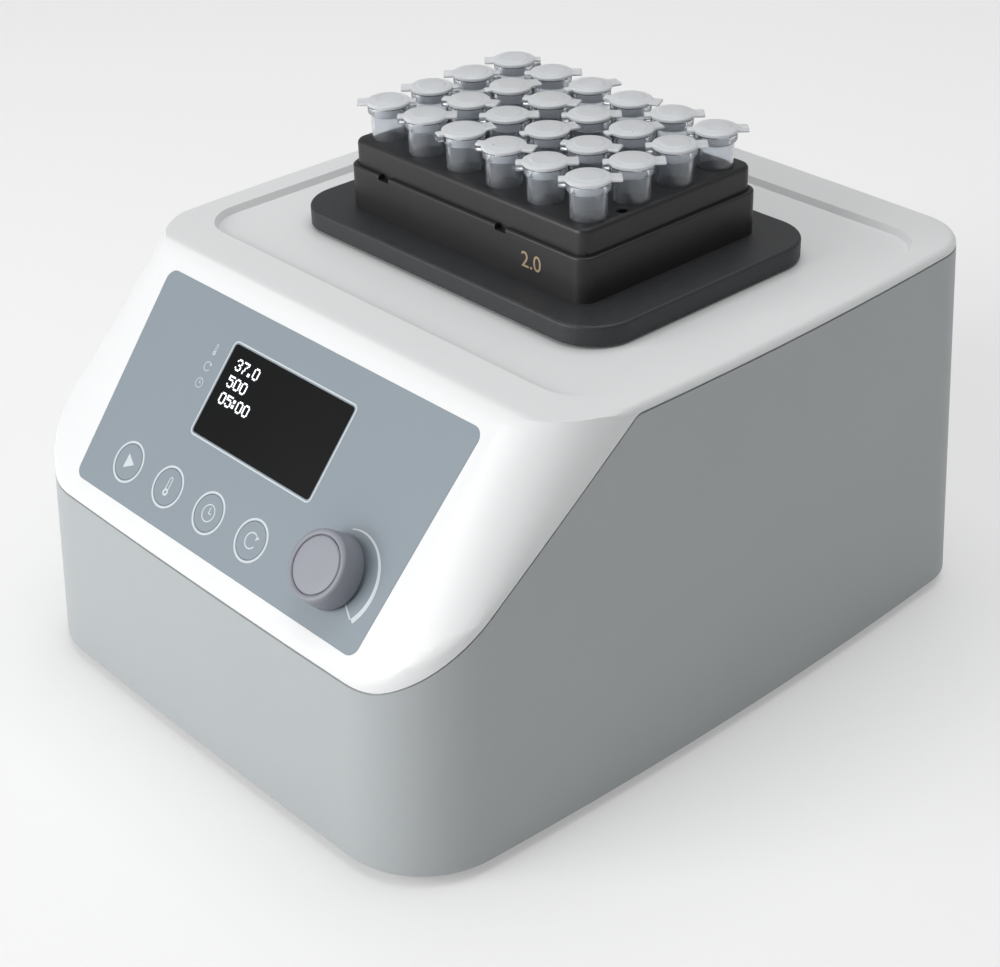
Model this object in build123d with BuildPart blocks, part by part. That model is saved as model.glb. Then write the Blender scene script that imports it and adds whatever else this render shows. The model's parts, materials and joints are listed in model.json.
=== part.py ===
# Bench thermal mixer: a housing in two shells with a sloped control panel, a block of 24
# snap-cap tubes on a heated and cooled platform, and an eccentric drive that moves the
# platform in a small circle. All sizes are in millimetres. +X is to the right of the person
# who faces the panel, +Y is to the back, +Z is up. The origin is on the bench, mid-footprint.

import os
from math import cos, radians, sin, tan

from build123d import *

os.makedirs("parts", exist_ok=True)

# Housing shells
base_half_width = 95.4
base_half_depth = 122.0
side_bow = 5.0
end_bow = 1.2
side_draft = 1.1
end_draft = 3.5
front_corner_r = 29.0
back_corner_r = 20.0
foot_height = 4.0
rim_z = 125.5
top_edge_r = 2.5
wall = 2.8
roof_thickness = 4.6
lid_clearance = 0.25

# Sloped face of the cover, with u up the slope and h outwards from the face
slope_angle = 49.7
slope_y = -76.1
slope_z = 113.75
slope_edge_r = 8.0
roll_width = 23.0
roll_rate = 0.235
roll_half = 95.3
roll_spread = 0.027
roll_start_u = -67.0
roll_start_depth = 1.5

# Parting line between housing and cover, in side view
seam_back_z = 122.5
seam_back_y = -38.8
seam_front_y = -118.0
seam_front_z = 60.5
seam_back_r = 4.0
seam_front_r = 7.0
groove_height = 0.7
groove_depth = 0.9

# Screw posts that join the base plate and the cover to the housing
base_post_x = 80.0
base_post_y = 84.0
base_post_height = 12.0
cover_post_x = 84.0
cover_post_y = (-30.0, 94.0)
cover_post_z = 112.0
cover_post_bore = 96.0
post_r = 4.5
rib_thickness = 2.4
screw_r = 1.5
screw_head_r = 2.8
screw_head_height = 2.0
screw_clearance = 0.1
screw_grip = 7.0

# Base plate and feet
base_plate_z = 5.0
base_plate_thickness = 3.0
base_plate_clearance = 0.3
foot_r = 8.0
foot_taper = 9.0
foot_x = 68.0
foot_y = 98.0
intake_slot_length = 40.0
intake_slot_width = 3.0
intake_slot_pitch = 8.0
intake_slot_count = 5
intake_x = 45.0
intake_y = 98.0

# Control panel, in x and u
overlay_top_half = 72.0
overlay_bottom_half = 67.6
overlay_top_u = 8.8
overlay_bottom_u = -61.0
overlay_corner_r = 3.5
overlay_thickness = 0.5
panel_clearance = 0.12
window_width = 55.6
window_height = 28.8
window_x = -1.7
window_u = -16.6
window_corner_r = 1.2
window_ledge = 1.6
window_thickness = 1.6
key_first_x = -48.4
key_pitch = 20.6
key_u = -49.1
key_r = 5.6
key_travel = 0.4
key_stem_r = 2.6
key_clearance = 0.3
key_flange = 0.9
switch_height = 3.0
knob_x = 48.0
knob_u = -43.9
knob_base_r = 10.9
knob_top_r = 10.3
knob_height = 8.6
knob_gap = 1.0
knob_travel = 0.8
knob_skirt = 1.6
knob_crown = 2.2
knob_cap_r = 8.3
knob_cap_thickness = 0.9
encoder_shaft_r = 3.0
encoder_bush_r = 3.8
encoder_bush_top = 1.4
encoder_size = 12.5
encoder_plunger_height = 1.2
encoder_cavity_r = 4.8
encoder_tip_r = 1.5
knob_edge_r = 0.6
knob_boss_r = 5.0
board_depth = 8.2
board_thickness = 1.6
board_half_width = 61.0
board_top_u = 3.0
board_bottom_u = -57.0
board_post_r = 2.6
board_post_inset = 3.6

# Platform, block and recess of the cover
block_y = 22.0
block_top_z = 152.5
recess_half_x = 87.5
recess_half_y = 74.5
recess_centre_y = 24.5
recess_corner_r = 15.0
recess_depth = 2.0
recess_slope = 1.2
skirt_half_x = 67.75
skirt_half_y = 48.5
skirt_corner_r = 15.0
skirt_gap = 1.0
skirt_thickness = 6.0
skirt_edge_r = 1.0
neck_wall = 2.6
neck_clearance = 0.5
opening_clearance = 3.4
opening_corner_r = 6.0
collar_half_x = 52.8
collar_half_y = 36.9
collar_height = 14.0
collar_wall = 2.2
collar_corner_r = 5.0
collar_edge_r = 0.8
collar_clearance = 0.1
latch_width = 4.6
latch_height = 1.6
latch_x = (-35.0, 18.0)
tier_half_x = 51.2
tier_half_y = 35.3
tier_corner_r = 4.0
tier_edge_r = 1.6
tube_pitch = 17.5
tube_columns = 6
tube_rows = 4
bore_clearance = 0.1
bore_end_gap = 0.3
block_foot = 4.0
probe_hole_x = 48.2
probe_hole_r = 1.6
probe_hole_depth = 12.0

# Heating and cooling stack under the block
heater_thickness = 8.0
heater_clearance = 0.4
module_size = 40.0
module_thickness = 4.0
module_x = 23.0
module_clearance = 0.4
sink_half_x = 60.0
sink_half_y = 44.0
sink_base = 5.0
fin_height = 22.0
fin_thickness = 1.6
fin_count = 15
platform_half_x = 66.0
platform_half_y = 50.0
platform_thickness = 5.0
platform_corner_r = 8.0

# Eccentric drive
orbit_r = 1.5
running_fit = 0.05
bearing_outer_r = 11.0
bearing_inner_r = 4.0
bearing_width = 7.0
bearing_wall = 3.5
idler_x = 50.0
idler_y = 34.0
idler_pin_r = 3.0
idler_disc_r = 7.0
bush_r = 6.0
bush_length = 7.0
end_play = 0.3
crank_height = 12.0
bracket_half_x = 70.0
bracket_half_y = 54.0
bracket_thickness = 3.0
bracket_corner_r = 8.0
pillar_r = 4.0
pillar_inset = 8.0
motor_r = 21.0
motor_height = 36.0
motor_shaft_r = 3.0
motor_boss_r = 10.0
motor_boss_height = 2.0
hub_r = 11.0
counterweight_r = 27.0
counterweight_height = 6.0

# Electrical parts
supply_size = (84.0, 50.0, 30.0)
supply_place = (-32.0, -68.0)
board_size = (50.0, 54.0)
board_place = (46.0, -68.0)
main_board_z = 14.0
stud_r = 2.5
fan_size = 60.0
fan_depth = 15.0
fan_x = 40.0
fan_z = 70.0
fan_face_y = 112.6
fan_hole_pitch = 50.0
fan_peg_r = 3.4
fan_duct_r = 28.0
fan_hub_r = 12.0
fan_blades = 7
fan_blade_width = 2.4
fan_strut = 3.0
fan_pin_r = 1.5
fan_pin_length = 8.0
fan_tip_clearance = 1.0
vent_slot_width = 52.0
vent_slot_height = 3.0
vent_slot_pitch = 6.0
vent_slot_count = 9
service_x = (-78.0, -4.0)
service_z = (18.0, 60.0)
service_y = 118.0
service_thickness = 4.0
inlet_x = -56.0
inlet_z = 39.0
inlet_flange = (38.0, 31.0)
inlet_body = (31.0, 24.0)
inlet_socket = (24.0, 16.8)
inlet_socket_depth = 15.5
inlet_flange_thickness = 2.0
inlet_body_depth = 20.0
pin_size = (2.0, 4.0)
pin_length = 13.0
pin_spacing = 7.0
switch_x = -18.0
switch_bezel = (15.0, 21.0)
switch_body = (12.6, 18.8)
switch_bezel_thickness = 1.6
switch_body_depth = 16.0
rocker_size = (9.6, 15.4)
rocker_angle = 11.0
rocker_well = 9.0
rocker_clearance = 0.3
rocker_valley = 1.6

# Snap-cap tubes, with heights from the top of the block
tube_r = 5.5
tube_wall = 1.0
tube_mouth_height = 10.4
tube_length = 32.0
tube_foot_r = 3.2
tube_cone = 5.0
cap_r = 6.8
cap_thickness = 1.6
cap_plug_length = 3.0
cap_fit = 0.06
cap_gap = 0.15
tab_reach = 9.6
tab_width = 5.6
strap_reach = 8.6
strap_width = 3.2
strap_lug = 1.4
cap_plug_taper = 0.5
cap_turn = 48.0
cap_turn_step = 20.0

# Heights worked out from the sizes above
far = 400.0
roof_z = rim_z - roof_thickness
recess_z = rim_z - recess_depth
skirt_bottom_z = recess_z + skirt_gap
skirt_top_z = skirt_bottom_z + skirt_thickness
step_z = skirt_top_z + collar_height
bore_bottom_z = block_top_z - tube_length - bore_end_gap
block_bottom_z = bore_bottom_z - block_foot
heater_bottom_z = block_bottom_z - heater_thickness
sink_top_z = heater_bottom_z - module_thickness
fin_top_z = sink_top_z - sink_base
platform_top_z = fin_top_z - fin_height
platform_bottom_z = platform_top_z - platform_thickness
bush_top_z = platform_top_z - 1.0
bush_bottom_z = bush_top_z - bush_length
crank_top_z = bush_bottom_z - end_play
crank_bottom_z = crank_top_z - crank_height
bracket_bush_top_z = crank_bottom_z - end_play
bracket_bush_bottom_z = bracket_bush_top_z - bush_length
bracket_top_z = bracket_bush_top_z - 2.0
bracket_bottom_z = bracket_top_z - bracket_thickness
motor_bottom_z = bracket_bottom_z - motor_height
base_top_z = base_plate_z + base_plate_thickness
neck_inner_x = tier_half_x - 0.8 + neck_clearance
neck_inner_y = tier_half_y - 1.0 + neck_clearance
block_half_x = neck_inner_x - neck_clearance
block_half_y = neck_inner_y - neck_clearance
opening_half_x = neck_inner_x + neck_wall + opening_clearance
opening_half_y = neck_inner_y + neck_wall + opening_clearance

# Planes of the sloped face and of the platform
slope_cos = cos(radians(slope_angle))
slope_sin = sin(radians(slope_angle))
slope_normal = Vector(0, -slope_sin, slope_cos)
slope_plane = Plane(origin=(0, slope_y, slope_z), x_dir=(1, 0, 0), z_dir=slope_normal)


def block_plane(z):
    """Level plane at height z with its origin on the block's axis."""
    return Plane(origin=(0, block_y, z), x_dir=(1, 0, 0), z_dir=(0, 0, 1))


def write(part, name):
    """Label one piece and write its file."""
    part.label = name
    export_step(part, f"parts/{name}.step")


def four_corners(x, y):
    """The four places at plus and minus x and y."""
    return [(-x, -y), (x, -y), (-x, y), (x, y)]


# Housing form


def half_width(z):
    """Half the housing's width at its corners, at height z."""
    return base_half_width - (z - foot_height) * tan(radians(side_draft))


def half_depth(z):
    """Half the housing's depth at its corners, at height z."""
    return base_half_depth - (z - foot_height) * tan(radians(end_draft))


def plan_outline(z, inset):
    """The housing's outline at height z: a bowed rectangle with round corners."""
    x = half_width(z) - inset
    y = half_depth(z) - inset
    with BuildSketch(Plane.XY.offset(z)) as outline:
        with BuildLine():
            ThreePointArc((-x, -y), (0, -y - end_bow), (x, -y))
            ThreePointArc((x, -y), (x + side_bow, 0), (x, y))
            ThreePointArc((x, y), (0, y + end_bow), (-x, y))
            ThreePointArc((-x, y), (-x - side_bow, 0), (-x, -y))
        make_face()
        fillet(outline.vertices().group_by(Axis.Y)[0], front_corner_r - inset)
        fillet(outline.vertices().group_by(Axis.Y)[-1], back_corner_r - inset)
    return outline.sketch


def roll_section(u, inset):
    """Cross-section of the sloped face at u. Its sides roll down, deeper towards the roof."""
    depth = max(roll_rate * (u - roll_start_u), 0) + roll_start_depth
    half = roll_half + roll_spread * (u - roll_start_u) - inset
    top = -inset
    low = top - depth
    round_handle = 0.5523
    square_plane = Plane(
        origin=slope_plane.from_local_coords(Vector(0, u, 0)),
        x_dir=(1, 0, 0),
        z_dir=(0, -slope_cos, -slope_sin),
    )
    with BuildSketch(square_plane) as section:
        with BuildLine():
            right = Bezier(
                (half, low),
                (half, low + depth * round_handle),
                (half - roll_width * (1 - round_handle), top),
                (half - roll_width, top),
            )
            left = Bezier(
                (roll_width - half, top),
                (roll_width * (1 - round_handle) - half, top),
                (-half, low + depth * round_handle),
                (-half, low),
            )
            Line(right @ 1, left @ 0)
            Polyline(left @ 1, (-far, low), (-far, -far), (far, -far), (far, low), right @ 0)
        make_face()
    return section.sketch


def housing_form(inset, bottom_z, top_z):
    """The closed form of housing and cover together, with every wall moved in by inset."""
    with BuildPart() as form:
        add(plan_outline(bottom_z, inset))
        add(plan_outline(top_z, inset))
        loft()
        split(bisect_by=slope_plane.offset(-inset), keep=Keep.BOTTOM)
        sloped_face = form.faces().sort_by(SortBy.AREA).filter_by(
            lambda face: face.normal_at().dot(slope_normal) > 0.99
        )[-1]
        fillet(sloped_face.edges(), slope_edge_r - inset)
        if inset < top_edge_r:
            rim_edges = form.faces().sort_by(Axis.Z)[-1].edges()
            fillet(rim_edges.filter_by(lambda edge: edge.center().Y > slope_y), top_edge_r - inset)
        hood_sections = [roll_section(u, inset) for u in (-far / 2, roll_start_u, far / 2)]
        with BuildPart(mode=Mode.PRIVATE) as hood:
            loft(hood_sections, ruled=True)
        add(hood.part, mode=Mode.INTERSECT)
    return form.part


def seam_prism(lift, side):
    """All space above or below the parting line, raised by lift."""
    level = far if side == "above" else -far
    with BuildPart() as prism:
        with BuildSketch(Plane.YZ):
            with BuildLine():
                FilletPolyline(
                    (far, seam_back_z + lift),
                    (seam_back_y, seam_back_z + lift),
                    (seam_front_y, seam_front_z + lift),
                    (-far, seam_front_z + lift),
                    radius=(seam_back_r, seam_front_r),
                )
                Polyline(
                    (-far, seam_front_z + lift), (-far, level), (far, level), (far, seam_back_z + lift)
                )
            make_face()
        extrude(amount=far, both=True)
    return prism.part


outer_form = housing_form(0, foot_height, rim_z)
cavity_form = housing_form(wall, foot_height - 2, roof_z)
lid_form = housing_form(wall + lid_clearance, foot_height - 2, seam_back_z + 0.1)


def straight_form(inset):
    """The drafted and bowed walls alone, without roof or sloped face, moved in by inset."""
    with BuildPart() as form:
        add(plan_outline(foot_height - 2, inset))
        add(plan_outline(rim_z, inset))
        loft()
    return form.part


cover_post_places = [(x, y) for y in cover_post_y for x in (-cover_post_x, cover_post_x)]
base_post_places = four_corners(base_post_x, base_post_y)


def wall_post(places, bottom_z, top_z):
    """Screw posts with a rib to the nearest side wall, trimmed inside the wall's thickness."""
    with BuildPart() as posts:
        with BuildSketch(Plane.XY.offset(bottom_z)):
            with Locations(*places):
                Circle(post_r)
            for x, y in places:
                with Locations((x + 15 if x > 0 else x - 15, y)):
                    Rectangle(30, rib_thickness)
        extrude(amount=top_z - bottom_z)
        add(straight_form(wall / 2), mode=Mode.INTERSECT)
    return posts.part


# Lower housing


def make_lower_housing():
    with BuildPart() as lower_housing:
        add(outer_form)
        add(straight_form(wall), mode=Mode.SUBTRACT)
        add(seam_prism(0, "below"), mode=Mode.INTERSECT)
        add(wall_post(cover_post_places, base_top_z, cover_post_z))
        add(wall_post(base_post_places, base_top_z, base_top_z + base_post_height))
        with BuildSketch(Plane.XY.offset(cover_post_bore)):
            with Locations(*cover_post_places):
                Circle(screw_head_r + screw_clearance)
        extrude(amount=base_plate_z - cover_post_bore, mode=Mode.SUBTRACT)
        with BuildSketch(Plane.XY.offset(cover_post_z)):
            with Locations(*cover_post_places):
                Circle(screw_r + screw_clearance)
        extrude(amount=cover_post_bore - cover_post_z, mode=Mode.SUBTRACT)
        with BuildSketch(Plane.XY.offset(base_top_z)):
            with Locations(*base_post_places):
                Circle(screw_r)
        extrude(amount=screw_grip, mode=Mode.SUBTRACT)
        # Flat upright panel in the back wall for the power inlet and the switch
        service_width = service_x[1] - service_x[0]
        service_height = service_z[1] - service_z[0]
        service_centre = ((service_x[0] + service_x[1]) / 2, (service_z[0] + service_z[1]) / 2)
        with BuildSketch(Plane.XZ.offset(-service_y)):
            with Locations(service_centre):
                RectangleRounded(service_width, service_height, 3)
        extrude(amount=-far, mode=Mode.SUBTRACT)
        with BuildSketch(Plane.XZ.offset(-service_y)):
            with Locations(service_centre):
                Rectangle(service_width + 2 * wall, service_height + 2 * wall)
        extrude(amount=service_thickness)
        with BuildSketch(Plane.XZ.offset(-service_y)):
            with Locations((inlet_x, inlet_z)):
                Rectangle(inlet_body[0] + 2 * panel_clearance, inlet_body[1] + 2 * panel_clearance)
            with Locations((switch_x, inlet_z)):
                Rectangle(switch_body[0] + 2 * panel_clearance, switch_body[1] + 2 * panel_clearance)
        extrude(amount=service_thickness, mode=Mode.SUBTRACT)
        # Air slots in the back wall and four pegs that hold the fan off it
        fan_corners = [(fan_x + x, fan_z + z) for x, z in four_corners(fan_hole_pitch / 2, fan_hole_pitch / 2)]
        with BuildPart(mode=Mode.PRIVATE) as pegs:
            with BuildSketch(Plane.XZ.offset(-fan_face_y)):
                with Locations(*fan_corners):
                    Circle(fan_peg_r)
            extrude(amount=-20)
            add(straight_form(wall / 2), mode=Mode.INTERSECT)
        add(pegs.part)
        with BuildSketch(Plane.XZ.offset(-fan_face_y - 0.5)):
            with Locations((fan_x, fan_z)):
                with GridLocations(0, vent_slot_pitch, 1, vent_slot_count):
                    SlotOverall(vent_slot_width, vent_slot_height)
        extrude(amount=-20, mode=Mode.SUBTRACT)
    write(lower_housing.part, "lower_housing")


make_lower_housing()


# Top cover


def panel_outline(clearance):
    """Outline of the control overlay: a rectangle a little narrower at its lower edge."""
    with BuildSketch(slope_plane) as outline:
        Polygon(
            (-overlay_top_half, overlay_top_u),
            (-overlay_bottom_half, overlay_bottom_u),
            (overlay_bottom_half, overlay_bottom_u),
            (overlay_top_half, overlay_top_u),
            align=None,
        )
        fillet(outline.vertices(), overlay_corner_r)
        if clearance > 0:
            offset(amount=clearance)
    return outline.sketch


key_places = [(key_first_x + number * key_pitch, key_u) for number in range(4)]
board_centre_u = (board_top_u + board_bottom_u) / 2
board_post_x = board_half_width - board_post_inset
board_post_u = (board_top_u - board_bottom_u) / 2 - board_post_inset
board_post_places = [(x, board_centre_u + u) for x, u in four_corners(board_post_x, board_post_u)]


def make_top_cover():
    with BuildPart() as top_cover:
        add(outer_form)
        add(seam_prism(0, "above"), mode=Mode.INTERSECT)
        add(lid_form)
        add(cavity_form, mode=Mode.SUBTRACT)
        add(make_reveal_groove(), mode=Mode.SUBTRACT)
        with BuildSketch(Plane.XY.offset(cover_post_z)):
            with Locations(*cover_post_places):
                Circle(post_r)
        extrude(amount=roof_z - cover_post_z + 1)
        with BuildSketch(Plane.XY.offset(cover_post_z)):
            with Locations(*cover_post_places):
                Circle(screw_r)
        extrude(amount=screw_grip, mode=Mode.SUBTRACT)
        # Shallow tray round the platform, and the opening for the platform's neck
        recess_plane = Plane((0, recess_centre_y, recess_z))
        with BuildSketch(recess_plane):
            RectangleRounded(
                2 * (recess_half_x - recess_slope), 2 * (recess_half_y - recess_slope), recess_corner_r - recess_slope
            )
        with BuildSketch(recess_plane.offset(recess_depth)):
            RectangleRounded(2 * recess_half_x, 2 * recess_half_y, recess_corner_r)
        loft(mode=Mode.SUBTRACT)
        with BuildSketch(block_plane(roof_z)):
            RectangleRounded(2 * opening_half_x, 2 * opening_half_y, opening_corner_r)
        extrude(amount=roof_thickness, mode=Mode.SUBTRACT)
        # Overlay pocket, window seat, key and knob holes, and posts for the control board
        add(panel_outline(panel_clearance))
        extrude(amount=-overlay_thickness, mode=Mode.SUBTRACT)
        with BuildSketch(slope_plane):
            with Locations((window_x, window_u)):
                RectangleRounded(
                    window_width + 2 * panel_clearance, window_height + 2 * panel_clearance, window_corner_r
                )
        extrude(amount=-window_thickness, mode=Mode.SUBTRACT)
        with BuildSketch(slope_plane):
            with Locations((window_x, window_u)):
                Rectangle(window_width - 2 * window_ledge, window_height - 2 * window_ledge)
            with Locations(*key_places):
                Circle(key_r + key_clearance)
            with Locations((knob_x, knob_u)):
                Circle(encoder_bush_r + key_clearance)
        extrude(amount=-2 * wall, mode=Mode.SUBTRACT)
        with BuildSketch(slope_plane.offset(-board_depth)):
            with Locations(*board_post_places):
                Circle(board_post_r)
        extrude(amount=board_depth - wall + 0.5)
    write(top_cover.part, "top_cover")


def make_reveal_groove():
    """Shallow step round the cover's lower edge that draws the dark parting line."""
    with BuildPart(mode=Mode.PRIVATE) as groove:
        add(straight_form(-2))
        add(straight_form(groove_depth), mode=Mode.SUBTRACT)
        add(seam_prism(0, "above"), mode=Mode.INTERSECT)
        add(seam_prism(groove_height, "below"), mode=Mode.INTERSECT)
    return groove.part


make_top_cover()


# Base plate, feet and screws


def make_base():
    with BuildPart() as base_plate:
        add(plan_outline(base_plate_z, wall + base_plate_clearance))
        extrude(amount=base_plate_thickness)
        with BuildSketch(Plane.XY.offset(base_plate_z)):
            with Locations(*base_post_places):
                Circle(screw_r + screw_clearance)
            with Locations(*cover_post_places):
                Circle(screw_head_r + screw_clearance)
            with Locations((intake_x, intake_y - 8), (-intake_x, intake_y - 8)):
                with GridLocations(0, intake_slot_pitch, 1, intake_slot_count):
                    SlotOverall(intake_slot_length, intake_slot_width)
        extrude(amount=base_plate_thickness, mode=Mode.SUBTRACT)
    write(base_plate.part, "base_plate")

    with BuildPart() as rubber_feet:
        with BuildSketch(Plane.XY.offset(base_plate_z)):
            with Locations(*four_corners(foot_x, foot_y)):
                Circle(foot_r)
        extrude(amount=-base_plate_z, taper=foot_taper)
    write(rubber_feet.part, "rubber_feet")


def screw_group(places, seat_z, head_drop, grip_z):
    """Screws with the head under seat_z and the shank up to grip_z."""
    with BuildPart() as screws:
        with BuildSketch(Plane.XY.offset(seat_z - head_drop)):
            with Locations(*places):
                Circle(screw_head_r)
        extrude(amount=head_drop)
        with BuildSketch(Plane.XY.offset(seat_z)):
            with Locations(*places):
                Circle(screw_r - screw_clearance / 2)
        extrude(amount=grip_z - seat_z)
    return screws.part


make_base()
write(
    screw_group(base_post_places, base_plate_z, screw_head_height, base_top_z + screw_grip - 1),
    "base_screws",
)
write(
    screw_group(cover_post_places, cover_post_bore, screw_head_height, cover_post_z + screw_grip - 1),
    "cover_screws",
)


# Control panel


def make_overlay():
    with BuildPart() as control_overlay:
        add(panel_outline(0))
        extrude(amount=-overlay_thickness)
        with BuildSketch(slope_plane):
            with Locations((window_x, window_u)):
                RectangleRounded(
                    window_width + 2 * panel_clearance, window_height + 2 * panel_clearance, window_corner_r
                )
            with Locations(*key_places):
                Circle(key_r + panel_clearance)
            with Locations((knob_x, knob_u)):
                Circle(encoder_bush_r + key_clearance)
        extrude(amount=-overlay_thickness, mode=Mode.SUBTRACT)
    write(control_overlay.part, "control_overlay")


def make_display():
    with BuildPart() as display_window:
        with BuildSketch(slope_plane):
            with Locations((window_x, window_u)):
                RectangleRounded(window_width, window_height, window_corner_r)
        extrude(amount=-window_thickness)
    write(display_window.part, "display_window")

    module_top = wall + 0.2
    with BuildPart() as display_module:
        with BuildSketch(slope_plane.offset(-board_depth)):
            with Locations((window_x, window_u)):
                Rectangle(window_width + 4, window_height + 3)
        extrude(amount=board_depth - module_top - 1.6)
        with BuildSketch(slope_plane.offset(-module_top - 1.6)):
            with Locations((window_x, window_u)):
                Rectangle(window_width, window_height - 1)
        extrude(amount=1.6)
    write(display_module.part, "display_module")


def make_control_board():
    with BuildPart() as control_board:
        with BuildSketch(slope_plane.offset(-board_depth)):
            with Locations((0, board_centre_u)):
                Rectangle(2 * board_half_width, board_top_u - board_bottom_u)
        extrude(amount=-board_thickness)
    write(control_board.part, "control_board")


def make_key(place, name):
    """Key disc with a flange under the cover and a stem to its switch."""
    flange_h = -wall - 0.15
    with BuildPart() as key:
        with BuildSketch(slope_plane.offset(flange_h)):
            with Locations(place):
                Circle(key_r)
        extrude(amount=-flange_h)
        with BuildSketch(slope_plane.offset(flange_h)):
            with Locations(place):
                Circle(key_r + key_flange)
        extrude(amount=-key_flange)
        with BuildSketch(slope_plane.offset(flange_h - key_flange)):
            with Locations(place):
                Circle(key_stem_r)
        extrude(amount=-(board_depth - switch_height - 2 * key_travel + flange_h - key_flange))
    write(key.part, name)


def make_key_switches():
    with BuildPart() as key_switches:
        with BuildSketch(slope_plane.offset(-board_depth)):
            with Locations(*key_places):
                Rectangle(6, 6)
        extrude(amount=switch_height - 0.4)
        with BuildSketch(slope_plane.offset(-board_depth + switch_height - 0.4)):
            with Locations(*key_places):
                Circle(1.7)
        extrude(amount=0.4)
    write(key_switches.part, "key_switches")


make_overlay()
make_display()
make_control_board()
for number in range(4):
    make_key(key_places[number], f"key_{number + 1}")
make_key_switches()


# Knob and its encoder, on the sloped face


def knob_plane(h):
    """Plane square to the sloped face at the knob's axis, at height h."""
    origin = slope_plane.from_local_coords(Vector(knob_x, knob_u, h))
    return Plane(origin=origin, x_dir=(1, 0, 0), z_dir=slope_normal)


def disc(plane, radius, height, bore=0):
    """Disc or ring that starts on the plane."""
    with BuildPart(mode=Mode.PRIVATE) as round_part:
        with BuildSketch(plane):
            Circle(radius)
            if bore:
                Circle(bore, mode=Mode.SUBTRACT)
        extrude(amount=height)
    return round_part.part


encoder_top_h = -wall - 0.4
encoder_floor_h = -board_depth + 0.6
plunger_bottom_h = encoder_floor_h + knob_travel + 0.1
plunger_top_h = plunger_bottom_h + encoder_plunger_height
shaft_top_h = knob_height - 2.6
knob_socket_h = encoder_bush_top + knob_travel + 0.4


def make_encoder():
    with BuildPart() as encoder_body:
        with BuildSketch(knob_plane(-board_depth)):
            Rectangle(encoder_size, encoder_size)
        extrude(amount=encoder_top_h + board_depth)
        add(disc(knob_plane(encoder_top_h), encoder_bush_r, encoder_bush_top - encoder_top_h))
        add(
            disc(knob_plane(encoder_floor_h), encoder_cavity_r, encoder_top_h - 0.8 - encoder_floor_h),
            mode=Mode.SUBTRACT,
        )
        add(
            disc(knob_plane(encoder_floor_h), encoder_shaft_r + running_fit, far),
            mode=Mode.SUBTRACT,
        )
    write(encoder_body.part, "encoder_body")

    with BuildPart() as encoder_plunger:
        add(disc(knob_plane(plunger_bottom_h), encoder_cavity_r - 0.2, encoder_plunger_height, encoder_tip_r))
    write(encoder_plunger.part, "encoder_plunger")

    with BuildPart() as encoder_shaft:
        add(disc(knob_plane(plunger_top_h + 0.05), encoder_shaft_r, shaft_top_h - plunger_top_h - 0.05))
        add(
            disc(
                knob_plane(plunger_bottom_h + 0.3),
                encoder_tip_r - running_fit,
                plunger_top_h - plunger_bottom_h,
            )
        )
    write(encoder_shaft.part, "encoder_shaft")


def make_knob():
    with BuildPart() as control_knob:
        with BuildSketch(knob_plane(knob_gap)):
            Circle(knob_base_r)
        with BuildSketch(knob_plane(knob_height)):
            Circle(knob_top_r)
        loft()
        top_edge = control_knob.edges().filter_by(GeomType.CIRCLE).sort_by(lambda edge: edge.radius)[0]
        fillet(top_edge, knob_edge_r)
        add(
            disc(knob_plane(knob_height - knob_cap_thickness), knob_cap_r + 0.1, far),
            mode=Mode.SUBTRACT,
        )
        add(
            disc(
                knob_plane(knob_gap),
                knob_base_r - knob_skirt,
                knob_height - knob_crown - knob_gap,
                knob_boss_r,
            ),
            mode=Mode.SUBTRACT,
        )
        add(disc(knob_plane(knob_gap), knob_boss_r, knob_socket_h - knob_gap), mode=Mode.SUBTRACT)
        add(
            disc(knob_plane(knob_socket_h), encoder_shaft_r + 0.01, shaft_top_h + 0.1 - knob_socket_h),
            mode=Mode.SUBTRACT,
        )
    write(control_knob.part, "control_knob")

    with BuildPart() as knob_cap:
        add(disc(knob_plane(knob_height - knob_cap_thickness), knob_cap_r, knob_cap_thickness))
    write(knob_cap.part, "knob_cap")


make_encoder()
make_knob()


# Platform with its heating and cooling stack


def block_rectangle(z, half_x, half_y, corner_r=0.0):
    """Sketch of a rectangle round the block's axis at height z."""
    with BuildSketch(block_plane(z)) as outline:
        if corner_r > 0:
            RectangleRounded(2 * half_x, 2 * half_y, corner_r)
        else:
            Rectangle(2 * half_x, 2 * half_y)
    return outline.sketch


bush_places = four_corners(idler_x, idler_y)
pillar_places = four_corners(bracket_half_x - pillar_inset, bracket_half_y - pillar_inset)


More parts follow.
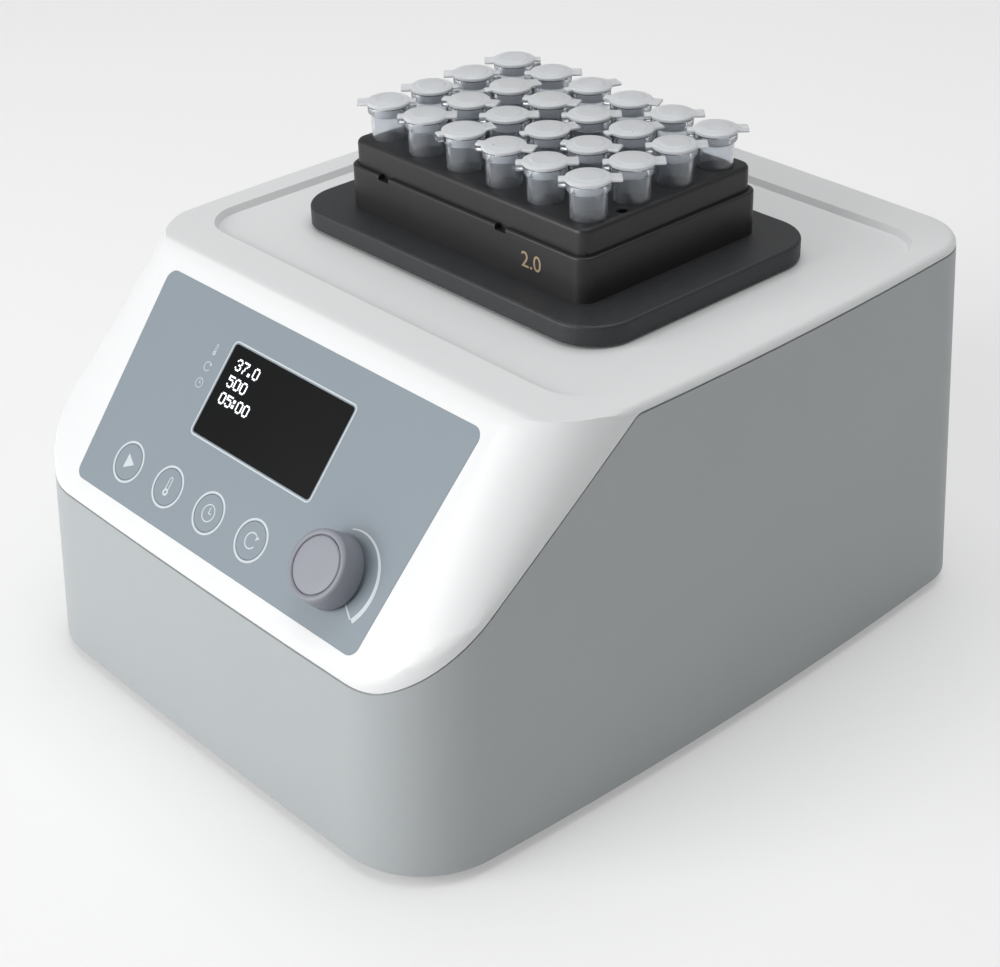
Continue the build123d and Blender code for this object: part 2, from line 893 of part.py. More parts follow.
def make_platform():
    with BuildPart() as platform_skirt:
        add(block_rectangle(skirt_bottom_z, skirt_half_x, skirt_half_y, skirt_corner_r))
        extrude(amount=skirt_thickness)
        skirt_rims = platform_skirt.faces().sort_by(Axis.Z)[-1].edges()
        fillet(skirt_rims, skirt_edge_r)
        add(block_rectangle(sink_top_z, neck_inner_x + neck_wall, neck_inner_y + neck_wall, 3))
        extrude(amount=skirt_bottom_z - sink_top_z + 1)
        add(block_rectangle(sink_top_z, neck_inner_x, neck_inner_y))
        extrude(amount=far, mode=Mode.SUBTRACT)
    write(platform_skirt.part, "platform_skirt")

    with BuildPart() as heater_plate:
        add(block_rectangle(heater_bottom_z, block_half_x, block_half_y))
        extrude(amount=heater_thickness)
    write(heater_plate.part, "heater_plate")

    module_places = [(-module_x, 0), (module_x, 0)]
    with BuildPart() as thermoelectric_modules:
        with BuildSketch(block_plane(sink_top_z)):
            with Locations(*module_places):
                Rectangle(module_size, module_size)
        extrude(amount=module_thickness)
    write(thermoelectric_modules.part, "thermoelectric_modules")

    with BuildPart() as insulation_frame:
        with BuildSketch(block_plane(sink_top_z)):
            Rectangle(2 * block_half_x, 2 * block_half_y)
            with Locations(*module_places):
                Rectangle(module_size + 2 * module_clearance, module_size + 2 * module_clearance, mode=Mode.SUBTRACT)
        extrude(amount=module_thickness)
    write(insulation_frame.part, "insulation_frame")

    fin_pitch = (2 * sink_half_x - fin_thickness) / (fin_count - 1)
    with BuildPart() as heat_sink:
        add(block_rectangle(fin_top_z, sink_half_x, sink_half_y))
        extrude(amount=sink_base)
        with BuildSketch(block_plane(platform_top_z)):
            with GridLocations(fin_pitch, 0, fin_count, 1):
                Rectangle(fin_thickness, 2 * sink_half_y)
        extrude(amount=fin_height)
    write(heat_sink.part, "heat_sink")

    with BuildPart() as platform_plate:
        add(block_rectangle(platform_bottom_z, platform_half_x, platform_half_y, platform_corner_r))
        extrude(amount=platform_thickness)
        with BuildSketch(block_plane(bush_bottom_z)):
            Circle(bearing_outer_r + bearing_wall)
            with Locations(*bush_places):
                Circle(bush_r + 2.5)
        extrude(amount=platform_bottom_z - bush_bottom_z)
        with BuildSketch(block_plane(bush_bottom_z)):
            Circle(bearing_outer_r)
            with Locations(*bush_places):
                Circle(bush_r)
        extrude(amount=bush_length, mode=Mode.SUBTRACT)
    write(platform_plate.part, "platform_plate")

    with BuildPart() as drive_bearing:
        with BuildSketch(block_plane(bush_bottom_z)):
            Circle(bearing_outer_r)
            Circle(bearing_inner_r, mode=Mode.SUBTRACT)
        extrude(amount=bearing_width)
    write(drive_bearing.part, "drive_bearing")

    with BuildPart() as platform_bushes:
        with BuildSketch(block_plane(bush_bottom_z)):
            with Locations(*bush_places):
                Circle(bush_r)
                Circle(idler_pin_r + running_fit, mode=Mode.SUBTRACT)
        extrude(amount=bush_length)
    write(platform_bushes.part, "platform_bushes")


make_platform()


# Interchangeable block with its collar

tube_places = [
    [
        ((column - (tube_columns - 1) / 2) * tube_pitch, (row - (tube_rows - 1) / 2) * tube_pitch)
        for column in range(tube_columns)
    ]
    for row in range(tube_rows)
]


def tube_body(plane, clearance=0.0, end_gap=0.0):
    """Closed outside form of one tube below the plane at its mouth, enlarged by the clearance."""
    tube_radius = tube_r + clearance
    foot_radius = tube_foot_r + clearance
    straight = tube_mouth_height + tube_length - tube_cone
    with BuildPart() as body:
        with BuildSketch(plane.offset(-straight)):
            Circle(tube_radius)
        extrude(amount=straight)
        with BuildSketch(plane.offset(-straight - tube_cone - end_gap)):
            Circle(foot_radius)
        with BuildSketch(plane.offset(-straight)):
            Circle(tube_radius)
        loft()
    return body.part


def make_block():
    one_bore = tube_body(Plane.XY, bore_clearance, bore_end_gap)
    with BuildPart() as sample_block:
        add(block_rectangle(block_bottom_z, block_half_x, block_half_y))
        extrude(amount=step_z - block_bottom_z + 1)
        add(block_rectangle(step_z, tier_half_x, tier_half_y, tier_corner_r))
        extrude(amount=block_top_z - step_z)
        fillet(sample_block.faces().sort_by(Axis.Z)[-1].edges(), tier_edge_r)
        for row in tube_places:
            for x, y in row:
                add(one_bore.moved(Location((x, y + block_y, block_top_z + tube_mouth_height))), mode=Mode.SUBTRACT)
        with BuildSketch(block_plane(block_top_z)):
            with Locations((probe_hole_x, -tube_pitch)):
                Circle(probe_hole_r)
        extrude(amount=-probe_hole_depth, mode=Mode.SUBTRACT)
    write(sample_block.part, "sample_block")

    with BuildPart() as block_collar:
        add(block_rectangle(skirt_top_z, collar_half_x, collar_half_y, collar_corner_r))
        extrude(amount=collar_height)
        fillet(block_collar.faces().sort_by(Axis.Z)[-1].edges(), collar_edge_r)
        add(block_rectangle(skirt_top_z, block_half_x + collar_clearance, block_half_y + collar_clearance))
        extrude(amount=collar_height, mode=Mode.SUBTRACT)
        with BuildSketch(block_plane(step_z - latch_height)):
            with Locations(*[(x, -collar_half_y) for x in latch_x]):
                Rectangle(latch_width, 2 * collar_wall)
        extrude(amount=latch_height, mode=Mode.SUBTRACT)
    write(block_collar.part, "block_collar")


make_block()


# Snap-cap tubes in four rows; the tube at the right front corner stands for itself


def one_tube():
    """Tube with its mouth at the origin and a lug that the cap's strap hangs on."""
    with BuildPart() as tube:
        add(tube_body(Plane.XY))
        with BuildSketch(Plane.XY):
            with Locations((-strap_reach / 2, 0)):
                Rectangle(strap_reach, strap_width)
        extrude(amount=-strap_lug)
        inner_r = tube_r - tube_wall
        inner_bottom = -(tube_mouth_height + tube_length - tube_cone)
        with BuildSketch(Plane.XY.offset(inner_bottom)):
            Circle(inner_r)
        extrude(amount=-inner_bottom, mode=Mode.SUBTRACT)
    return tube.part


def one_cap():
    """Cap over a mouth at the origin: a disc with a thumb tab, a hinge strap and a plug."""
    with BuildPart() as cap:
        with BuildSketch(Plane.XY.offset(cap_gap)):
            Circle(cap_r)
            with Locations((tab_reach / 2, 0)):
                Rectangle(tab_reach, tab_width)
            with Locations((-strap_reach / 2, 0)):
                Rectangle(strap_reach, strap_width)
        extrude(amount=cap_thickness)
        with BuildSketch(Plane.XY.offset(cap_gap - cap_plug_length)):
            Circle(tube_r - tube_wall - cap_fit - cap_plug_taper)
        with BuildSketch(Plane.XY.offset(cap_gap)):
            Circle(tube_r - tube_wall - cap_fit)
        loft()
    return cap.part


def cap_turn_of(row_number, column):
    """Direction of the thumb tab: outwards on the left column, else about the other diagonal."""
    if column == 0:
        return cap_turn + 180
    if column == tube_columns - 1:
        return cap_turn
    return cap_turn + cap_turn_step * ((column + 2 * row_number) % 3 - 1)


def make_tubes():
    tube = one_tube()
    cap = one_cap()
    mouth_z = block_top_z + tube_mouth_height
    for row_number, row in enumerate(tube_places):
        tubes = []
        caps = []
        for column, (x, y) in enumerate(row):
            place = Location((x, y + block_y, mouth_z))
            turn = Location((0, 0, 0), (0, 0, cap_turn_of(row_number, column)))
            tubes.append(tube.moved(place * turn))
            caps.append(cap.moved(place * turn))
        if row_number == 0:
            write(tubes.pop(), "front_tube")
            write(caps.pop(), "front_tube_cap")
        write(Compound(children=tubes), f"tubes_row_{row_number + 1}")
        write(Compound(children=caps), f"caps_row_{row_number + 1}")


make_tubes()


# Eccentric drive, with the motor's axis one orbit radius to the left of the block's axis


def drive_plane(z):
    """Level plane at height z with its origin on the motor's axis."""
    return block_plane(z).shift_origin((-orbit_r, block_y, z))


def make_drive():
    motor_top_z = bracket_bottom_z
    with BuildPart() as motor:
        with BuildSketch(drive_plane(motor_bottom_z)):
            Circle(motor_r)
        extrude(amount=motor_height)
        with BuildSketch(drive_plane(motor_top_z)):
            Circle(motor_boss_r)
        extrude(amount=motor_boss_height)
        with BuildSketch(drive_plane(motor_bottom_z + 6)):
            Circle(motor_shaft_r + running_fit)
        extrude(amount=far, mode=Mode.SUBTRACT)
    write(motor.part, "motor")

    with BuildPart() as motor_shaft:
        with BuildSketch(drive_plane(motor_bottom_z + 8)):
            Circle(motor_shaft_r)
        extrude(amount=crank_top_z - 2 - motor_bottom_z - 8)
    write(motor_shaft.part, "motor_shaft")

    with BuildPart() as motor_bracket:
        add(block_rectangle(bracket_bottom_z, bracket_half_x, bracket_half_y, bracket_corner_r))
        extrude(amount=bracket_thickness)
        with BuildSketch(drive_plane(bracket_bush_bottom_z)):
            with Locations(*bush_places):
                Circle(bush_r + 2.5)
        extrude(amount=bracket_bottom_z - bracket_bush_bottom_z)
        with BuildSketch(drive_plane(bracket_bush_bottom_z)):
            Circle(motor_boss_r + screw_clearance)
            with Locations(*bush_places):
                Circle(bush_r)
        extrude(amount=bush_length, mode=Mode.SUBTRACT)
    write(motor_bracket.part, "motor_bracket")

    with BuildPart() as bracket_bushes:
        with BuildSketch(drive_plane(bracket_bush_bottom_z)):
            with Locations(*bush_places):
                Circle(bush_r)
                Circle(idler_pin_r + running_fit, mode=Mode.SUBTRACT)
        extrude(amount=bush_length)
    write(bracket_bushes.part, "bracket_bushes")

    with BuildPart() as bracket_pillars:
        with BuildSketch(block_plane(base_top_z)):
            with Locations(*pillar_places):
                Circle(pillar_r)
        extrude(amount=bracket_bottom_z - base_top_z)
    write(bracket_pillars.part, "bracket_pillars")

    with BuildPart() as drive_eccentric:
        with BuildSketch(drive_plane(crank_bottom_z)):
            Circle(hub_r)
        extrude(amount=crank_height)
        with BuildSketch(drive_plane(crank_bottom_z)):
            Circle(motor_shaft_r)
        extrude(amount=crank_height - 2, mode=Mode.SUBTRACT)
        with BuildSketch(block_plane(crank_top_z)):
            Circle(bearing_inner_r - running_fit)
        extrude(amount=end_play + bearing_width - 0.5)
    write(drive_eccentric.part, "drive_eccentric")

    with BuildPart() as counterweight:
        with BuildSketch(drive_plane(crank_bottom_z + (crank_height - counterweight_height) / 2)):
            with BuildLine():
                CenterArc((0, 0), counterweight_r, 90, 180)
                Line((0, -counterweight_r), (0, counterweight_r))
            make_face()
            Circle(hub_r, mode=Mode.SUBTRACT)
        extrude(amount=counterweight_height)
    write(counterweight.part, "counterweight")


def make_idler(place, name):
    """Crank with a lower journal in the bracket and an upper pin in the platform."""
    journal = drive_plane(bracket_bush_bottom_z + 0.5)
    pin_length_up = end_play + bush_length - 0.5
    with BuildPart() as idler:
        with BuildSketch(journal):
            with Locations(place):
                Circle(idler_pin_r)
        extrude(amount=crank_bottom_z - bracket_bush_bottom_z - 0.5)
        with BuildSketch(drive_plane(crank_bottom_z)):
            with Locations(place):
                Circle(idler_disc_r)
        extrude(amount=crank_height)
        with BuildSketch(block_plane(crank_top_z)):
            with Locations(place):
                Circle(idler_pin_r)
        extrude(amount=pin_length_up)
    write(idler.part, name)


make_drive()
for number, place in enumerate(bush_places):
    make_idler(place, f"idler_{number + 1}")


# Power supply, main board, inlet, switch and fan


def make_boards():
    supply_length, supply_width, supply_height = supply_size
    with BuildPart() as power_supply:
        with BuildSketch(Plane.XY.offset(base_top_z)):
            with Locations(supply_place):
                Rectangle(supply_length, supply_width)
        extrude(amount=supply_height)
    write(power_supply.part, "power_supply")

    with BuildPart() as main_board:
        with BuildSketch(Plane.XY.offset(main_board_z)):
            with Locations(board_place):
                Rectangle(*board_size)
        extrude(amount=board_thickness)
        with BuildSketch(Plane.XY.offset(base_top_z)):
            with Locations(board_place):
                with GridLocations(board_size[0] - 8, board_size[1] - 8, 2, 2):
                    Circle(stud_r)
        extrude(amount=main_board_z - base_top_z)
        with BuildSketch(Plane.XY.offset(main_board_z + board_thickness)):
            with Locations(board_place):
                Rectangle(18, 18)
        extrude(amount=2.2)
    write(main_board.part, "main_board")


def service_plane(depth):
    """Upright plane that faces the back, at depth outwards from the service panel."""
    return Plane(origin=(0, service_y + depth, 0), x_dir=(-1, 0, 0), z_dir=(0, 1, 0))


def make_inlet():
    inlet_place = (-inlet_x, inlet_z)
    with BuildPart() as power_inlet:
        with BuildSketch(service_plane(0)):
            with Locations(inlet_place):
                RectangleRounded(*inlet_flange, 2)
        extrude(amount=inlet_flange_thickness)
        with BuildSketch(service_plane(0)):
            with Locations(inlet_place):
                Rectangle(*inlet_body)
        extrude(amount=-inlet_body_depth)
        with BuildSketch(service_plane(inlet_flange_thickness)):
            with Locations(inlet_place):
                Rectangle(*inlet_socket)
        extrude(amount=-inlet_socket_depth, mode=Mode.SUBTRACT)
        with BuildSketch(service_plane(inlet_flange_thickness - inlet_socket_depth)):
            with Locations(inlet_place):
                with Locations((-pin_spacing, -2), (pin_spacing, -2), (0, 3.6)):
                    Rectangle(*pin_size)
        extrude(amount=pin_length)
    write(power_inlet.part, "power_inlet")


def make_switch():
    switch_place = (-switch_x, inlet_z)
    well_size = (rocker_size[0] + 2 * rocker_clearance, rocker_size[1] + 2 * rocker_clearance)
    with BuildPart() as switch_body_part:
        with BuildSketch(service_plane(0)):
            with Locations(switch_place):
                RectangleRounded(*switch_bezel, 1)
        extrude(amount=switch_bezel_thickness)
        with BuildSketch(service_plane(0)):
            with Locations(switch_place):
                Rectangle(*switch_body)
        extrude(amount=-switch_body_depth)
        with BuildSketch(service_plane(switch_bezel_thickness)):
            with Locations(switch_place):
                Rectangle(*well_size)
        extrude(amount=-rocker_well, mode=Mode.SUBTRACT)
    write(switch_body_part.part, "switch_body")

    rocker_r = rocker_size[1] / 2
    pivot = Plane(
        origin=(switch_x - rocker_size[0] / 2, service_y, inlet_z),
        x_dir=(0, cos(radians(rocker_angle)), sin(radians(rocker_angle))),
        z_dir=(1, 0, 0),
    )
    with BuildPart() as power_rocker:
        with BuildSketch(pivot):
            Circle(rocker_r)
            with BuildLine():
                Polyline((-3, -far), (-3, far), (-far, far), (-far, -far), close=True)
            make_face(mode=Mode.SUBTRACT)
            with BuildLine():
                Polyline(
                    (rocker_valley, 0),
                    (rocker_valley + far * sin(radians(rocker_angle)), far),
                    (far, far),
                    (far, -far),
                    (rocker_valley + far * sin(radians(rocker_angle)), -far),
                    close=True,
                )
            make_face(mode=Mode.SUBTRACT)
        extrude(amount=rocker_size[0])
    write(power_rocker.part, "power_rocker")


def fan_plane(depth):
    """Upright plane on the fan's axis, at depth towards the front from the fan's outer face."""
    return Plane(origin=(fan_x, fan_face_y - depth, fan_z), x_dir=(1, 0, 0), z_dir=(0, -1, 0))


def make_fan():
    with BuildPart() as fan_frame:
        with BuildSketch(fan_plane(0)):
            Rectangle(fan_size, fan_size)
            Circle(fan_duct_r, mode=Mode.SUBTRACT)
        extrude(amount=fan_depth)
        with BuildSketch(fan_plane(0)):
            Circle(fan_hub_r)
            with PolarLocations(fan_duct_r / 2 + 0.5, 3):
                Rectangle(fan_duct_r + 1, 2.4)
        extrude(amount=fan_strut)
        add(disc(fan_plane(fan_strut), fan_pin_r, fan_pin_length))
    write(fan_frame.part, "fan_frame")

    with BuildPart() as fan_rotor:
        rotor_plane = fan_plane(fan_strut + 0.6)
        rotor_depth = fan_depth - fan_strut - 1.2
        with BuildSketch(rotor_plane):
            Circle(fan_hub_r)
        extrude(amount=rotor_depth)
        blade_reach = fan_duct_r - fan_tip_clearance
        with BuildSketch(rotor_plane):
            with PolarLocations((fan_hub_r + blade_reach) / 2 - 1, fan_blades):
                Rectangle(blade_reach - fan_hub_r + 2, fan_blade_width)
        extrude(amount=rotor_depth)
        with BuildSketch(rotor_plane):
            Circle(fan_pin_r + running_fit)
        extrude(amount=fan_pin_length, mode=Mode.SUBTRACT)
    write(fan_rotor.part, "fan_rotor")


make_boards()
make_inlet()
make_switch()
make_fan()
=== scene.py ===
import json
import math

import bpy
from mathutils import Matrix, Vector

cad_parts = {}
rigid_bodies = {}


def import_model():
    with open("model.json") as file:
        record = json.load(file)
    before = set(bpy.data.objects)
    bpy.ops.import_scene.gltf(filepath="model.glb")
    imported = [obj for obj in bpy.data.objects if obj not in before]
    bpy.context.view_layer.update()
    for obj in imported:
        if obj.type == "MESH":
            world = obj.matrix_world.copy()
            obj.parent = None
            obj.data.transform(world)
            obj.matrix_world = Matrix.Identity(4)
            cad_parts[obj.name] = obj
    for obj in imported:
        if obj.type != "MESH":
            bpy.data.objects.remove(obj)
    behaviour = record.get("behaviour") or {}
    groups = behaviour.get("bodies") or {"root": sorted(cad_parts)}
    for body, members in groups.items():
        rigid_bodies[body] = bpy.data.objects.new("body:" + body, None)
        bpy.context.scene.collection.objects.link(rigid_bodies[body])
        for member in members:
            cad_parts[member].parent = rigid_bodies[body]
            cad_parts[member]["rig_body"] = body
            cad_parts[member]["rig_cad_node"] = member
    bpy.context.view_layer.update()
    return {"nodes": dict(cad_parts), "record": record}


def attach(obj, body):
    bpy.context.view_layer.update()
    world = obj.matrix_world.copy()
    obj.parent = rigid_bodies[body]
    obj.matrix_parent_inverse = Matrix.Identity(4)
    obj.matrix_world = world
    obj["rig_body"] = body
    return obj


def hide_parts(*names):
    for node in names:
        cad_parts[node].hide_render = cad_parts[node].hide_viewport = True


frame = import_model()
bpy.ops.object.select_all(action="DESELECT")
nodes = frame["nodes"]
print("frame loaded")

mm = 0.001
weld = {"made": 0.000001, "cad": 0.000002}  # points nearer than this become one

# Sloped face of the cover: x to the right, u up the slope
slope = {"angle": 49.7, "y": -76.1, "z": 113.75}
slopeTurn = Matrix.Rotation(math.radians(slope["angle"]), 4, "X")
slopeFrame = Matrix.Translation((0, slope["y"] * mm, slope["z"] * mm)) @ slopeTurn


# Small helpers used by every piece

def inMm(values):
    return [value * mm for value in values]


def deselectAll():
    if bpy.context.mode != "OBJECT":
        bpy.ops.object.mode_set(mode="OBJECT")
    bpy.ops.object.select_all(action="DESELECT")


def makeActive(piece):
    deselectAll()
    piece.select_set(True)
    bpy.context.view_layer.objects.active = piece


def settle(piece):
    makeActive(piece)
    bpy.ops.object.transform_apply(location=True, rotation=True, scale=True)


def placeBy(piece, matrix):
    piece.matrix_world = matrix @ piece.matrix_world
    settle(piece)


def copyOf(piece):
    # second object with its own mesh
    copy = piece.copy()
    copy.data = piece.data.copy()
    bpy.context.scene.collection.objects.link(copy)
    return copy


def applyModifier(piece, kind, **values):
    makeActive(piece)
    modifier = piece.modifiers.new(kind.title(), kind)
    for key, value in values.items():
        setattr(modifier, key, value)
    bpy.ops.object.modifier_apply(modifier=modifier.name)


def smoothBy(piece, angle):
    makeActive(piece)
    bpy.ops.object.shade_smooth_by_angle(angle=math.radians(angle))


def faceOutwards(piece):
    makeActive(piece)
    bpy.ops.object.mode_set(mode="EDIT")
    bpy.ops.mesh.select_all(action="SELECT")
    bpy.ops.mesh.remove_doubles(threshold=weld["made"])
    bpy.ops.mesh.normals_make_consistent(inside=False)
    bpy.ops.object.mode_set(mode="OBJECT")


def joinPieces(pieces, name):
    deselectAll()
    for piece in pieces:
        piece.select_set(True)
    bpy.context.view_layer.objects.active = pieces[0]
    if len(pieces) > 1:
        bpy.ops.object.join()
    joined = bpy.context.view_layer.objects.active
    joined.name = name
    joined.data.name = name
    return joined


def finishPiece(piece, name, material, body, replaces=()):
    piece.name = name
    piece.data.name = name
    piece.data.materials.clear()
    piece.data.materials.append(material)
    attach(piece, body)
    if replaces:
        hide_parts(*replaces)
    return piece


def skinFromNode(nodeName, angle):
    # welded copy of a CAD node, so that it can be shaded smooth
    skin = copyOf(nodes[nodeName])
    skin.parent = None
    skin.matrix_world = Matrix.Identity(4)
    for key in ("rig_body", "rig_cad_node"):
        del skin[key]
    makeActive(skin)
    bpy.ops.mesh.customdata_custom_splitnormals_clear()
    bpy.ops.object.mode_set(mode="EDIT")
    bpy.ops.mesh.select_all(action="SELECT")
    bpy.ops.mesh.remove_doubles(threshold=weld["cad"])
    bpy.ops.object.mode_set(mode="OBJECT")
    smoothBy(skin, angle)
    return skin


def lathe(rings, vertices):
    # rings are (radius, height) in mm, and the first and the last are closed flat
    radius, height = rings[0]
    deselectAll()
    bpy.ops.mesh.primitive_circle_add(
        vertices=vertices, radius=radius * mm, location=(0, 0, height * mm), fill_type="NGON")
    piece = bpy.context.object
    settle(piece)
    bpy.ops.object.mode_set(mode="EDIT")
    bpy.ops.mesh.select_all(action="SELECT")
    for nextRadius, nextHeight in rings[1:]:
        bpy.ops.mesh.extrude_region_move(
            TRANSFORM_OT_translate={"value": (0, 0, (nextHeight - height) * mm)})
        if nextRadius != radius:
            grow = nextRadius / radius
            bpy.ops.transform.resize(value=(grow, grow, 1), center_override=(0, 0, nextHeight * mm))
        radius, height = nextRadius, nextHeight
    bpy.ops.object.mode_set(mode="OBJECT")
    faceOutwards(piece)
    return piece


# Shader effect that all finishes share

grain = {"size": 900.0, "blotch": 40.0, "fineDetail": 2.0, "broadDetail": 3.0}


def addGrain():
    # fine moulded or blasted texture: a height, and a mask for colour and gloss
    group = bpy.data.node_groups.new("fineGrain", "ShaderNodeTree")
    for name, value in (("Size", grain["size"]), ("Blotch", grain["blotch"])):
        socket = group.interface.new_socket(name=name, in_out="INPUT", socket_type="NodeSocketFloat")
        socket.default_value = value
    for name in ("Height", "Mask"):
        group.interface.new_socket(name=name, in_out="OUTPUT", socket_type="NodeSocketFloat")
    inputs = group.nodes.new("NodeGroupInput")
    outputs = group.nodes.new("NodeGroupOutput")
    coords = group.nodes.new("ShaderNodeTexCoord")
    fine = group.nodes.new("ShaderNodeTexNoise")
    fine.inputs["Detail"].default_value = grain["fineDetail"]
    broad = group.nodes.new("ShaderNodeTexNoise")
    broad.inputs["Detail"].default_value = grain["broadDetail"]
    link = group.links.new
    link(coords.outputs["Object"], fine.inputs["Vector"])
    link(coords.outputs["Object"], broad.inputs["Vector"])
    link(inputs.outputs["Size"], fine.inputs["Scale"])
    link(inputs.outputs["Blotch"], broad.inputs["Scale"])
    link(fine.outputs["Fac"], outputs.inputs["Height"])
    link(broad.outputs["Fac"], outputs.inputs["Mask"])
    return group


grainGroup = addGrain()


def startMaterial(name, size, blotch):
    material = bpy.data.materials.new(name)
    material.use_nodes = True
    texture = material.node_tree.nodes.new("ShaderNodeGroup")
    texture.node_tree = grainGroup
    texture.inputs["Size"].default_value = size
    texture.inputs["Blotch"].default_value = blotch
    return material, texture


def addGlossAndBump(tree, texture, lowRough, highRough, bumpFrom, bump):
    # uneven gloss from the mask, and a bump from the height or the mask
    shader = tree.nodes["Principled BSDF"]
    gloss = tree.nodes.new("ShaderNodeMapRange")
    gloss.inputs["To Min"].default_value = lowRough
    gloss.inputs["To Max"].default_value = highRough
    raised = tree.nodes.new("ShaderNodeBump")
    raised.inputs["Strength"].default_value = 1.0
    raised.inputs["Distance"].default_value = bump * mm
    link = tree.links.new
    link(texture.outputs["Mask"], gloss.inputs["Value"])
    link(gloss.outputs["Result"], shader.inputs["Roughness"])
    link(texture.outputs[bumpFrom], raised.inputs["Height"])
    link(raised.outputs["Normal"], shader.inputs["Normal"])


def makeFinish(name, colour, shade, rough, roughSpread, size, blotch, bump, **sockets):
    # moulded, painted or plated surface: two close colours, uneven gloss and a fine bump
    material, texture = startMaterial(name, size, blotch)
    tree = material.node_tree
    shader = tree.nodes["Principled BSDF"]
    tint = tree.nodes.new("ShaderNodeMix")
    tint.data_type = "RGBA"
    tint.inputs["A"].default_value = (*colour, 1)
    tint.inputs["B"].default_value = (*[part * shade for part in colour], 1)
    tree.links.new(texture.outputs["Mask"], tint.inputs["Factor"])
    tree.links.new(tint.outputs["Result"], shader.inputs["Base Color"])
    addGlossAndBump(tree, texture, rough - roughSpread, rough + roughSpread, "Height", bump)
    for key, value in sockets.items():
        shader.inputs[key.replace("_", " ")].default_value = value
    return material


polymer = {"ior": 1.42, "grain": 700, "lowGloss": 0.7, "highGloss": 1.3}


def makePolymer(name, colour, rough, transmission, blotch, bump):
    # clear or milky tube plastic with faint moulding waves
    material, texture = startMaterial(name, polymer["grain"], blotch)
    tree = material.node_tree
    shader = tree.nodes["Principled BSDF"]
    shader.inputs["Base Color"].default_value = (*colour, 1)
    shader.inputs["Transmission Weight"].default_value = transmission
    shader.inputs["IOR"].default_value = polymer["ior"]
    addGlossAndBump(tree, texture, rough * polymer["lowGloss"], rough * polymer["highGloss"], "Mask", bump)
    return material


# Slot: name, colour, shade of the second colour, roughness and its spread,
# grain size, blotch size, bump in mm
finishTable = {
    "cover": ("coverWhite", (0.76, 0.77, 0.775), 0.985, 0.34, 0.03, 1400, 18, 0.004),
    "housing": ("housingGrey", (0.40, 0.425, 0.435), 0.975, 0.42, 0.03, 1600, 22, 0.006),
    "steel_plate": ("zincSheet", (0.55, 0.56, 0.57), 0.85, 0.38, 0.08, 500, 60, 0.01),
    "rubber_foot": ("footRubber", (0.03, 0.03, 0.032), 1.4, 0.75, 0.08, 1200, 90, 0.03),
    "screw_steel": ("screwSteel", (0.6, 0.6, 0.61), 0.85, 0.3, 0.06, 900, 120, 0.005),
    "overlay": ("overlayFilm", (0.222, 0.262, 0.296), 1.03, 0.46, 0.03, 2600, 25, 0.004),
    "display": ("windowBlack", (0.003, 0.0032, 0.0035), 1.2, 0.3, 0.02, 300, 30, 0.0005),
    "display_glass": ("moduleDark", (0.02, 0.022, 0.024), 1.2, 0.3, 0.05, 700, 60, 0.002),
    "circuit_board": ("boardGreen", (0.02, 0.13, 0.055), 0.7, 0.35, 0.1, 350, 160, 0.02),
    "key_face": ("keyFilm", (0.222, 0.262, 0.296), 1.03, 0.46, 0.03, 2600, 25, 0.004),
    "switch_black": ("switchBlack", (0.018, 0.018, 0.02), 1.3, 0.42, 0.05, 1500, 80, 0.01),
    "encoder_metal": ("encoderNickel", (0.62, 0.61, 0.58), 0.9, 0.3, 0.05, 800, 90, 0.004),
    "knob": ("knobGrey", (0.23, 0.237, 0.272), 1.04, 0.42, 0.03, 1500, 60, 0.006),
    "knob_disc": ("knobDisc", (0.265, 0.272, 0.31), 1.03, 0.46, 0.03, 1800, 60, 0.006),
    "skirt": ("skirtTexture", (0.019, 0.020, 0.022), 1.5, 0.5, 0.06, 1300, 300, 0.12),
    "block": ("blockSatin", (0.0125, 0.0125, 0.0135), 1.3, 0.4, 0.04, 1500, 60, 0.02),
    "aluminium": ("bareAluminium", (0.75, 0.76, 0.77), 0.9, 0.35, 0.06, 450, 60, 0.01),
    "ceramic": ("whiteCeramic", (0.78, 0.78, 0.75), 0.95, 0.6, 0.05, 700, 90, 0.01),
    "foam": ("closedFoam", (0.06, 0.06, 0.065), 1.5, 0.9, 0.04, 500, 90, 0.15),
    "bearing_steel": ("groundSteel", (0.6, 0.6, 0.61), 0.92, 0.2, 0.05, 700, 70, 0.003),
    "bronze": ("sinteredBronze", (0.5, 0.33, 0.16), 0.8, 0.45, 0.08, 900, 120, 0.02),
    "motor_can": ("motorCan", (0.5, 0.51, 0.52), 0.9, 0.32, 0.06, 600, 60, 0.006),
    "fan_black": ("fanBlack", (0.016, 0.016, 0.018), 1.3, 0.5, 0.05, 1500, 80, 0.01),
    "supply_can": ("supplyCan", (0.62, 0.63, 0.62), 0.88, 0.36, 0.08, 500, 50, 0.01),
}
bareMetal = {"Metallic": 1.0}
finishExtras = {
    "steel_plate": bareMetal, "screw_steel": bareMetal, "encoder_metal": bareMetal,
    "aluminium": bareMetal, "bearing_steel": bareMetal, "bronze": bareMetal,
    "motor_can": bareMetal, "supply_can": bareMetal,
    "display": {"Specular_IOR_Level": 0.15},
}
finishes = {}
for slotName, values in finishTable.items():
    finishes[slotName] = makeFinish(*values, **finishExtras.get(slotName, {}))

# Name, colour, roughness, transmission, wave size, bump in mm
finishes["tube_clear"] = makePolymer("tubeClear", (0.86, 0.89, 0.93), 0.10, 0.92, 260, 0.05)
finishes["cap_milky"] = makePolymer("capMilky", (0.93, 0.95, 0.97), 0.32, 0.45, 320, 0.06)

